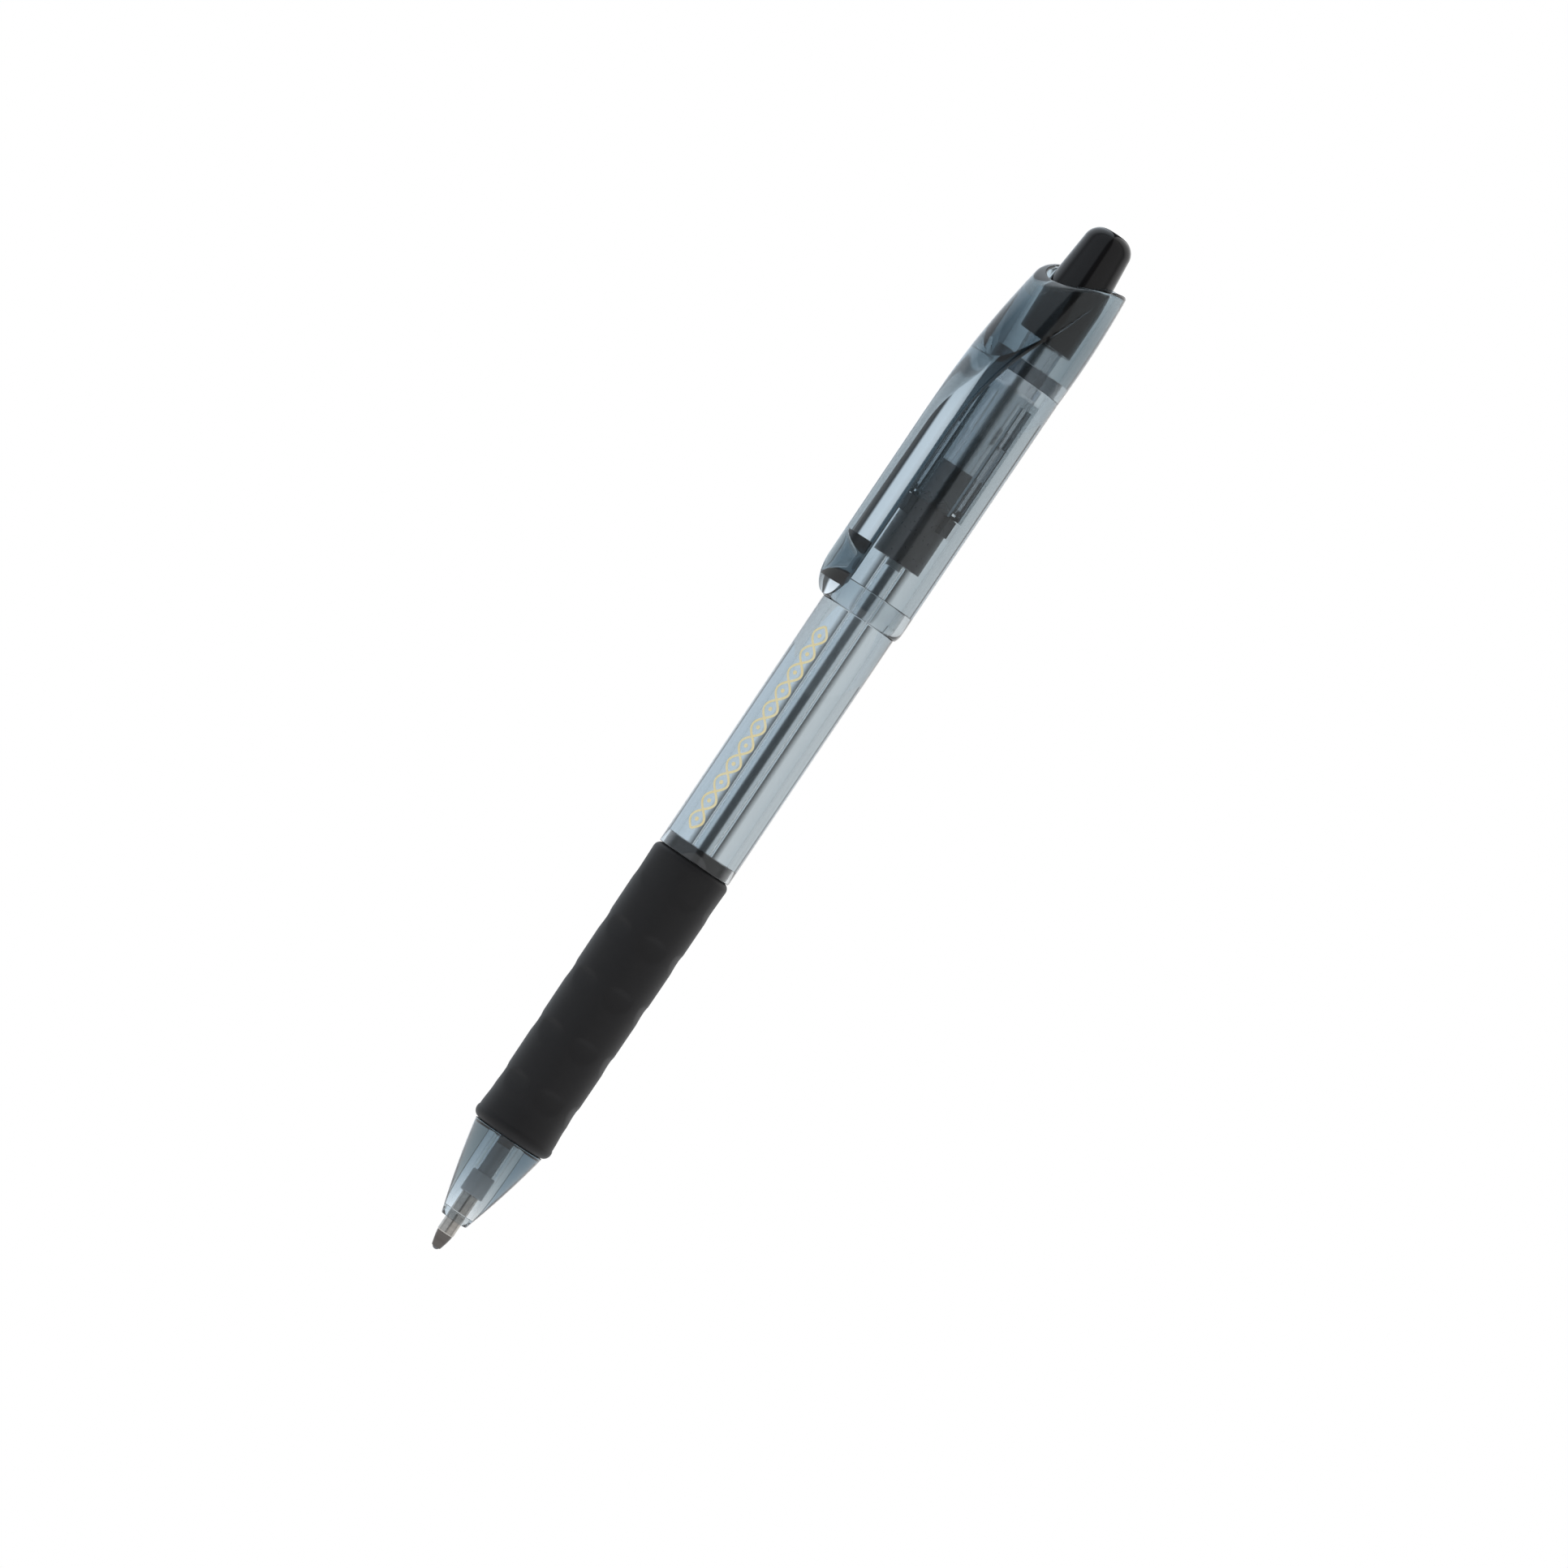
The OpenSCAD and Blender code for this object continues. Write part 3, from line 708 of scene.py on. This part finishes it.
# %% [markdown]
# The refill is an ink tube with a holder pressed into its lower end and a metal point in that. The
# point ends in a bullet that holds the ball. A groove behind the bullet catches the light.

# %% Refill tube
TUBE_R = 1.4
INK_R = 0.98
TUBE_TOP_Z = 98.9
EAR_X = 1.8
EAR_Z = 36.4
refill = turned([(INK_R, TUBE_Z), (TUBE_R, TUBE_Z), (TUBE_R, TUBE_TOP_Z), (INK_R, TUBE_TOP_Z)], 96)
for side in (-1, 1):
    ear = bmesh.ops.create_cube(refill, size=1)["verts"]
    bmesh.ops.scale(refill, verts=ear, vec=(1.1 * MM, 0.6 * MM, 1.6 * MM))
    bmesh.ops.translate(refill, verts=ear, vec=(EAR_X * side * MM, 0, EAR_Z * MM))
piece("ink_tube", refill, "refill", ["refill_tube"])

# %% Holder of the point
holder = turned(
    rounded(
        [
            (0.4, 11.44),
            (0.78, 11.44),
            (0.78, HOLDER_Z, 0.05),
            (1.48, HOLDER_Z, 0.15),
            (1.48, TUBE_Z - 0.01, 0.08),
            (0.97, TUBE_Z - 0.01),
            (0.97, 14.79),
            (0.4, 14.79),
        ]
    ),
    96,
)
piece("point_holder", holder, "refill", ["tip_holder"])

# %% Metal point
bullet = swelling(0.57, 1.0, 0.3, 2.1, 0.04, 12)
point = turned(
    rounded(
        [
            (0.5, 0.32),
            *bullet,
            (1.0, 2.22),
            (1.075, 2.34, 0.03),
            (1.075, 5.0, 0.02),
            (1.055, 5.03),
            (1.055, 5.2),
            (1.075, 5.23, 0.02),
            (1.075, HOLDER_Z - 0.01),
            (0.77, HOLDER_Z - 0.01),
            (0.77, 11.4, 0.05),
            (0.4, 11.4),
            (0.4, 1.5),
            (0.18, 1.5),
            (0.18, 1.03),
            (0.42, 0.86),
            (0.53, 0.5),
        ]
    ),
    96,
)
piece("metal_point", point, "refill", ["point_socket"])

# %% Writing ball
ball = bmesh.new()
bmesh.ops.create_uvsphere(ball, u_segments=48, v_segments=32, radius=0.5 * MM)
bmesh.ops.translate(ball, verts=ball.verts, vec=(0, 0, 0.5 * MM))
piece("ball", ball, "ball", ["writing_ball"])

# %% [markdown]
# A line of gold foil decorates the barrel. Foil is a film, so it is modelled as one: thin strips
# that lie on the tube. Two waves cross each other, and a dot fills each eye between them. A texture
# could draw it too, but real strips keep their shine and a crisp edge from close by.

# %% Foil waves
FOIL_TURN = radians(16)
FOIL_LOW_Z = 57.6
FOIL_HIGH_Z = 85.8
FOIL_EYES = 11
FOIL_SWING = 0.95
FOIL_WIDTH = 0.3
FOIL_STEPS = 260
FOIL_RISE = 0.014
eye = (FOIL_HIGH_Z - FOIL_LOW_Z) / FOIL_EYES


def on_barrel(across, z, lift):
    """A point on the barrel, at a distance round it from the foil's middle line."""
    r = BARREL_R + (BARREL_TOP_R - BARREL_R) * (z - GRIP_TOP_Z) / (JOINT_Z - GRIP_TOP_Z) + lift
    angle = FOIL_TURN + across / r
    return Vector((r * cos(angle), r * sin(angle), z))


foil = bmesh.new()
edge_of = foil.verts.layers.int.new("edge")
for strand, sign in enumerate((1, -1)):
    lift = 0.004 + strand * (FOIL_RISE + 0.002)
    pair = [foil.verts.new(), foil.verts.new()]
    pair[1][edge_of] = 1
    tip = [foil.edges.new(pair)]
    for k in range(FOIL_STEPS + 1):
        z = FOIL_LOW_Z + (FOIL_HIGH_Z - FOIL_LOW_Z) * k / FOIL_STEPS
        phase = pi * (z - FOIL_LOW_Z) / eye
        slope = sign * FOIL_SWING * pi / eye * cos(phase)
        width = FOIL_WIDTH / 2 / sqrt(1 + slope * slope)
        if k:
            grown = bmesh.ops.extrude_edge_only(foil, edges=tip)["geom"]
            pair = [item for item in grown if isinstance(item, bmesh.types.BMVert)]
            tip = [e for e in grown if isinstance(e, bmesh.types.BMEdge) and set(e.verts) <= set(pair)]
        for vert in pair:
            aside = 1 if vert[edge_of] else -1
            across = sign * FOIL_SWING * sin(phase) + aside * width
            vert.co = on_barrel(across, z - aside * width * slope, lift) * MM
print("foil strips:", len(foil.faces), "faces")

# %% Foil dots
for k in range(FOIL_EYES):
    z = FOIL_LOW_Z + eye * (k + 0.5)
    dot = bmesh.ops.create_circle(foil, cap_ends=True, segments=20, radius=0.26 * MM)["verts"]
    place = Matrix.Translation(on_barrel(0, z, 0.004) * MM) @ Matrix.Rotation(FOIL_TURN, 4, "Z")
    bmesh.ops.transform(foil, matrix=place @ Matrix.Rotation(pi / 2, 4, "Y"), verts=dot)
bmesh.ops.recalc_face_normals(foil, faces=foil.faces)
bmesh.ops.solidify(foil, geom=foil.faces[:], thickness=-FOIL_RISE * MM)
piece("foil_waves", foil, "shell")

# %% [markdown]
# Every finish is a node material. Writing shader maths as nodes one by one is slow to read, so a
# small class wraps a socket: an expression such as 0.2 + noise * 0.1 then adds its own Math nodes.

# %% Shader maths
class Signal:
    """A socket's value in a shader, which takes part in Python arithmetic."""

    def __init__(self, graph, socket):
        self.graph = graph
        self.socket = socket

    def maths(self, operation, first, second):
        node = self.graph.add("ShaderNodeMath", {"operation": operation}, {0: first, 1: second})
        return self.graph.out(node)

    def __add__(self, other):
        return self.maths("ADD", self, other)

    def __radd__(self, other):
        return self.maths("ADD", other, self)

    def __sub__(self, other):
        return self.maths("SUBTRACT", self, other)

    def __rsub__(self, other):
        return self.maths("SUBTRACT", other, self)

    def __mul__(self, other):
        return self.maths("MULTIPLY", self, other)

    def __rmul__(self, other):
        return self.maths("MULTIPLY", other, self)

    def __truediv__(self, other):
        return self.maths("DIVIDE", self, other)

    def __gt__(self, other):
        return self.maths("GREATER_THAN", self, other)


# %% One method for every node
class Graph:
    """A node tree that is built from a node's type, its settings and its inputs."""

    def __init__(self, tree):
        self.tree = tree
        tree.nodes.clear()

    def add(self, kind, settings=None, inputs=None):
        node = self.tree.nodes.new(kind)
        for name, value in (settings or {}).items():
            if name == "stops":
                self.set_stops(node.color_ramp, value)
            else:
                setattr(node, name, value)
        for name, value in (inputs or {}).items():
            if isinstance(value, Signal):
                self.tree.links.new(value.socket, node.inputs[name])
            else:
                node.inputs[name].default_value = value
        return node

    def set_stops(self, ramp, stops):
        while len(ramp.elements) < len(stops):
            ramp.elements.new(0.5)
        for element, (position, colour) in zip(ramp.elements, stops):
            element.position = position
            element.color = (*colour, 1)

    def out(self, node, name=0):
        return Signal(self, node.outputs[name])

    def blend(self, share, first, second):
        """A colour between two colours."""
        node = self.add("ShaderNodeMix", {"data_type": "RGBA"}, {0: share, 6: first, 7: second})
        return self.out(node, 2)

    def noise(self, place, scale, detail=2.0, roughness=0.5):
        values = {"Vector": place, "Scale": scale, "Detail": detail, "Roughness": roughness}
        return self.out(self.add("ShaderNodeTexNoise", {}, values))


print("shader maths is ready")

# %% [markdown]
# One recipe serves all the finishes, with other numbers. Its tone drifts a little between two
# colours, its roughness drifts too, and a very fine relief breaks up the highlight. The pattern is
# measured in millimetres, and a stretch makes lines of it, as turning or moulding leaves them.

# %% A finish
def finish(name, constants, tones, roughness, grain, relief, stretch=(1, 1, 1), absorb=None):
    """A material. Tones are two colours, roughness its low and high value, grain lumps per mm."""
    made = bpy.data.materials.new(name)
    made.use_nodes = True
    graph = Graph(made.node_tree)
    shader = graph.add("ShaderNodeBsdfPrincipled", {}, constants)
    coordinates = graph.out(graph.add("ShaderNodeTexCoord"), "Object")
    scale = [1000 * part for part in stretch]
    place = graph.out(graph.add("ShaderNodeMapping", {}, {"Vector": coordinates, "Scale": scale}))
    drift = graph.noise(place, grain * 0.12)
    speckle = graph.noise(place, grain, 3.0, 0.6)
    colours = [(*tone, 1) for tone in tones]
    tone = graph.blend(drift, colours[0], colours[1])
    rough = roughness[0] + (roughness[1] - roughness[0]) * speckle
    bump = graph.add("ShaderNodeBump", {}, {"Strength": 1.0, "Distance": relief * MM, "Height": speckle})
    links = graph.tree.links
    links.new(tone.socket, shader.inputs["Base Color"])
    links.new(rough.socket, shader.inputs["Roughness"])
    links.new(bump.outputs[0], shader.inputs["Normal"])
    output = graph.add("ShaderNodeOutputMaterial", {}, {"Surface": graph.out(shader)})
    if absorb:
        colour, density = absorb
        volume = graph.add("ShaderNodeVolumeAbsorption", {}, {"Color": (*colour, 1), "Density": density})
        links.new(volume.outputs[0], output.inputs["Volume"])
    print("finish:", name)
    return made


def wear(material, *names):
    """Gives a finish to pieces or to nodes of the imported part."""
    for name in names:
        worn = made_pieces.get(name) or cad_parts[name]
        worn.data.materials.clear()
        worn.data.materials.append(material)


# %% [markdown]
# The shell is clear styrene with a little smoke grey in it. The tint isn't painted on: it sits in
# the plastic, so thick walls and edges come out darker. Volume absorption does that.

# %% Clear smoky plastic
SMOKE = (0.427, 0.513, 0.552)
CLEAR = {"Transmission Weight": 1.0, "IOR": 1.53}
PALE = ((0.975, 0.985, 0.99), (0.99, 0.995, 1.0))
shell_clear = finish("smoky_clear", CLEAR, PALE, (0.01, 0.02), 3, 0.00001, (1, 1, 0.6), (SMOKE, 490))
cap_clear = finish("cap_clear", CLEAR, PALE, (0.01, 0.02), 3, 0.00001, (1, 1, 0.6), (SMOKE, 900))
# The thin ring in the cap joint gets a grey see-through finish: painted shade.
shade_ring_body = {"Transmission Weight": 1.0, "IOR": 1.5}
joint_shade_look = finish("joint_painted_shade", shade_ring_body, ((0.4, 0.42, 0.45), (0.46, 0.48, 0.5)), (0.04, 0.08), 3, 0.00001)
guide_clear = finish("guide_clear", CLEAR, PALE, (0.03, 0.06), 3, 0.00008, (1, 1, 0.6), (SMOKE, 700))
wear(shell_clear, "nose_shell", "barrel_tube", "housing_tube")
wear(cap_clear, "clip_and_cap")
wear(joint_shade_look, "joint_shade_ring")
wear(guide_clear, "cam_guide")

# %% [markdown]
# The grip's rubber is matt, and fingers leave it uneven. The button is polished black plastic.
# The sliding sleeve and the rotor under it are clear too, but with much more smoke in them.

# %% Rubber and dark plastics
RUBBER = {"IOR": 1.5, "Specular IOR Level": 0.3, "Sheen Weight": 0.05, "Sheen Roughness": 0.5}
rubber_tones = ((0.0075, 0.007, 0.0075), (0.010, 0.009, 0.0095))
rubber = finish("grip_rubber", RUBBER, rubber_tones, (0.5, 0.62), 9, 0.003)
GLOSS = {"IOR": 1.5, "Specular IOR Level": 0.36}
gloss = finish("black_gloss", GLOSS, ((0.004, 0.0035, 0.004), (0.006, 0.0055, 0.006)), (0.1, 0.16), 2, 0.0004)
DARK_SMOKE = (0.42, 0.45, 0.49)
BROWN_SMOKE = (0.46, 0.43, 0.42)
sleeve_look = finish("dark_sleeve", CLEAR, PALE, (0.12, 0.16), 4, 0.00005, (1, 1, 0.6), (DARK_SMOKE, 280))
cam_body = {"Transmission Weight": 0.4, "IOR": 1.5}
cam_tones = ((0.15, 0.138, 0.14), (0.18, 0.166, 0.168))
cam_look = finish("dark_cam", cam_body, cam_tones, (0.25, 0.32), 4, 0.00005, (1, 1, 0.6), (BROWN_SMOKE, 480))
wear(rubber, "grip_sleeve")
wear(gloss, "button_cap")
wear(sleeve_look, "thrust_tube")
wear(cam_look, "rotor_cam")

# %% [markdown]
# The ink tube is milky, so it lets light through without showing a sharp picture. The ink in it is
# black, and a grease follower closes the ink off from the air.

# %% The refill's plastics
MILKY = {"Transmission Weight": 0.95, "IOR": 1.28}
milky = finish("milky_tube", MILKY, ((0.88, 0.91, 0.93), (0.92, 0.94, 0.95)), (0.1, 0.16), 3, 0.00005)
ink = finish("ink", {"IOR": 1.4}, ((0.002, 0.002, 0.003), (0.004, 0.004, 0.005)), (0.08, 0.14), 2, 0.0004)
grease_body = {"Transmission Weight": 0.6, "IOR": 1.47}
grease = finish("grease", grease_body, ((0.72, 0.66, 0.5), (0.78, 0.73, 0.58)), (0.25, 0.35), 4, 0.001)
plug = finish("milky_plug", {"IOR": 1.5}, ((0.62, 0.63, 0.62), (0.7, 0.71, 0.7)), (0.35, 0.45), 4, 0.001)
frosted = {"Transmission Weight": 0.1, "IOR": 1.5}
grey = finish("grey_holder", frosted, ((0.54, 0.57, 0.6), (0.68, 0.7, 0.73)), (0.25, 0.35), 4, 0.001)
wear(milky, "ink_tube")
wear(ink, "ink_column")
wear(grease, "ink_follower")
wear(plug, "tail_plug")
wear(grey, "point_holder")

# %% [markdown]
# The point is turned from nickel silver, so fine rings run round it. Stretching the pattern flat
# makes them: it changes quickly along the axis and hardly at all round it. The bullet that holds
# the ball gets a much darker metal by its height: painted shade at the tip of the point.

# %% Metals
METAL = {"Metallic": 1.0}
turned_metal = ((0.34, 0.32, 0.30), (0.58, 0.55, 0.51))
# The bullet's tones are far darker than the turned metal: painted shade at the tip.
bullet_shade_tones = ((0.09, 0.08, 0.075), (0.17, 0.155, 0.145))
BULLET_TOP_Z = 2.2
nickel = finish("point_metal", METAL, turned_metal, (0.14, 0.28), 6, 0.002, (0.1, 0.1, 1.6))
bullet_painted_shade = finish("bullet_painted_shade", METAL, bullet_shade_tones, (0.12, 0.24), 6, 0.001, (0.1, 0.1, 1.6))
carbide = finish("ball_metal", METAL, ((0.12, 0.12, 0.13), (0.18, 0.18, 0.19)), (0.12, 0.2), 8, 0.0005)
steel = finish("spring_steel", METAL, ((0.55, 0.56, 0.58), (0.65, 0.66, 0.68)), (0.2, 0.3), 8, 0.0008)
gold = finish("gold_foil", METAL, ((1.0, 0.80, 0.40), (1.0, 0.90, 0.62)), (0.35, 0.5), 5, 0.0006)
wear(nickel, "metal_point")
# Faces below the bullet's top get the darker finish, which is painted shade.
made_pieces["metal_point"].data.materials.append(bullet_painted_shade)
for face in made_pieces["metal_point"].data.polygons:
    if face.center.z < BULLET_TOP_Z * MM:
        face.material_index = 1
wear(carbide, "ball")
wear(steel, "return_spring")
wear(gold, "foil_waves")

# %% [markdown]
# Clear plastic shows best in a light tent. The tent is bright behind the pen and dimmer in
# front. It is dark where the camera looks in, and a narrow dark gap straight behind the pen shows as
# a dark line down every clear tube. Area lamps could do it, but the world's colour can follow the
# direction itself, and then it is smooth. What the camera sees behind the pen is plain white.

# %% Light tent
CAMERA_TURN = radians(48)
TOWARDS_CAMERA = Vector((cos(CAMERA_TURN), sin(CAMERA_TURN), 0))
PEN_RIGHT = Vector((-sin(CAMERA_TURN), cos(CAMERA_TURN), 0))
GAP_EDGE = 0.955
GAP_DARK = 0.975
tent = bpy.data.worlds.new("light_tent")
bpy.context.scene.world = tent
tent.use_nodes = True
sky = Graph(tent.node_tree)
direction = sky.out(sky.add("ShaderNodeTexCoord"), "Generated")


def along(axis):
    """How far the direction of the light goes along an axis."""
    node = sky.add("ShaderNodeVectorMath", {"operation": "DOT_PRODUCT"}, {0: direction, 1: axis})
    return sky.out(node, "Value")


aside = along(PEN_RIGHT)
ahead = along(TOWARDS_CAMERA)
width = sky.out(sky.add("ShaderNodeMath", {"operation": "ABSOLUTE"}, {0: aside}))
angle = sky.out(sky.add("ShaderNodeMath", {"operation": "ARCTAN2"}, {0: width, 1: ahead})) / pi


def ring_of_light(tint):
    """The tent's brightness from straight at the camera, 0, to straight behind the pen, 1."""
    front = [(0.0, 0.1), (0.05, 0.12), (0.075, 0.6), (0.4, 0.65), (0.5, 0.4)]
    back = [(0.6, 1.0), (GAP_EDGE, 1.12), (GAP_DARK, 0.06)]
    colours = [(at, tuple(level * part for part in tint)) for at, level in front + back]
    return sky.out(sky.add("ShaderNodeValToRGB", {"stops": colours}, {"Fac": angle}))


left = ring_of_light((0.92, 1.0, 1.08))
right = ring_of_light((0.95, 0.95, 0.95))
light = sky.blend(aside > 0, left, right)
seen = sky.out(sky.add("ShaderNodeLightPath"), "Is Camera Ray")
shown = sky.blend(seen, light, (1, 1, 1, 1))
background = sky.add("ShaderNodeBackground", {}, {"Color": shown, "Strength": 1.0})
sky.add("ShaderNodeOutputWorld", {}, {"Surface": sky.out(background)})
print("the gap behind the pen is", round((2 - GAP_EDGE - GAP_DARK) * 180, 1), "degrees wide")

# %% Floor
floor_mesh = bmesh.new()
bmesh.ops.create_circle(floor_mesh, cap_ends=True, segments=64, radius=4)
bmesh.ops.translate(floor_mesh, verts=floor_mesh.verts, vec=(0, 0, -0.6))
floor_data = bpy.data.meshes.new("floor")
floor_mesh.to_mesh(floor_data)
floor_mesh.free()
floor = bpy.data.objects.new("floor", floor_data)
collection.objects.link(floor)
paper = bpy.data.materials.new("white_paper")
paper.use_nodes = True
sheet = Graph(paper.node_tree)
glow = {"Emission Color": (1, 1, 1, 1), "Emission Strength": 0.4}
matt_white = {"Base Color": (0.8, 0.8, 0.8, 1), "Roughness": 0.9, **glow}
white = sheet.out(sheet.add("ShaderNodeBsdfPrincipled", {}, matt_white))
sheet.add("ShaderNodeOutputMaterial", {}, {"Surface": white})
floor_data.materials.append(paper)
print("floor at", round(floor_data.vertices[0].co.z, 2), "m")

# %% [markdown]
# The camera looks straight at the side of the pen from far away with a long lens, so the pen keeps
# its true proportions. It is rolled, so that the pen leans to the right in the picture.

# %% Camera
LEAN = radians(33.92)
AIM_Z = 67.9
AIM_ASIDE = 3.61
DISTANCE = 1.085
up = Vector((0, 0, 1)) * cos(LEAN) - PEN_RIGHT * sin(LEAN)
right_hand = Vector((0, 0, 1)) * sin(LEAN) + PEN_RIGHT * cos(LEAN)
aim = Vector((0, 0, AIM_Z * MM)) + PEN_RIGHT * AIM_ASIDE * MM
lens = bpy.data.cameras.new("camera")
lens.sensor_width = 36
lens.lens = 213
lens.clip_start = 0.05
camera = bpy.data.objects.new("camera", lens)
collection.objects.link(camera)
turn = Matrix((right_hand, up, TOWARDS_CAMERA)).transposed().to_4x4()
camera.matrix_world = Matrix.Translation(aim + TOWARDS_CAMERA * DISTANCE) @ turn
bpy.context.scene.camera = camera
print("the camera stands at", [round(x, 3) for x in camera.location])

# %% Picture settings
scene = bpy.context.scene
scene.view_settings.view_transform = "Standard"
scene.cycles.max_bounces = 24
scene.cycles.transmission_bounces = 24
scene.cycles.glossy_bounces = 12
print("light passes up to", scene.cycles.transmission_bounces, "clear faces")
